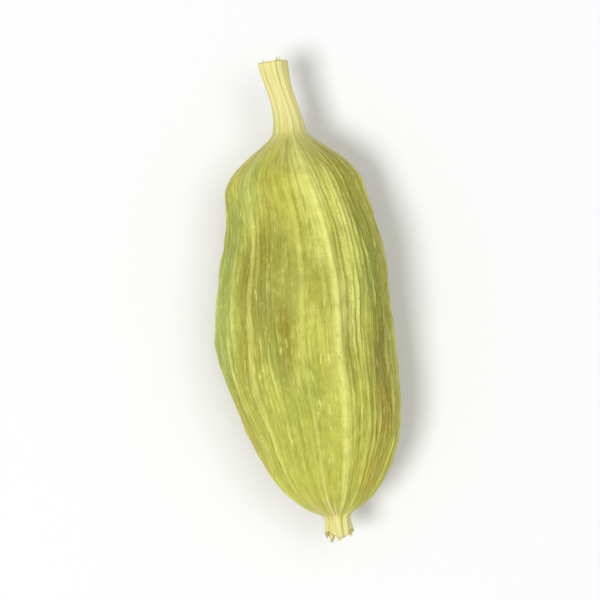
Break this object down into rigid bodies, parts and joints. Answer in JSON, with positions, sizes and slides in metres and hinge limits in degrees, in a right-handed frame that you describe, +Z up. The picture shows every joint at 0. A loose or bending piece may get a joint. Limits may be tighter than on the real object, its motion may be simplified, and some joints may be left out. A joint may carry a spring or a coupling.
{
  "type": "green cardamom pod",
  "caption": "Dried green cardamom pod: a closed, ribbed, three-sided capsule with a stalk stub and a dried flower remnant, lying on a flat spot.",
  "frame": {"origin": "on the resting plane, at the middle of the pod's box seen from above", "axes": "+X along the pod to the stalk, +Z up; the top ridge leans towards -Y"},
  "size_m": [0.021, 0.008, 0.0071],
  "materials": {
    "husk": "matte"
  },
  "bodies": {
    "root": {"pod": "husk"}
  },
  "joints": []
}
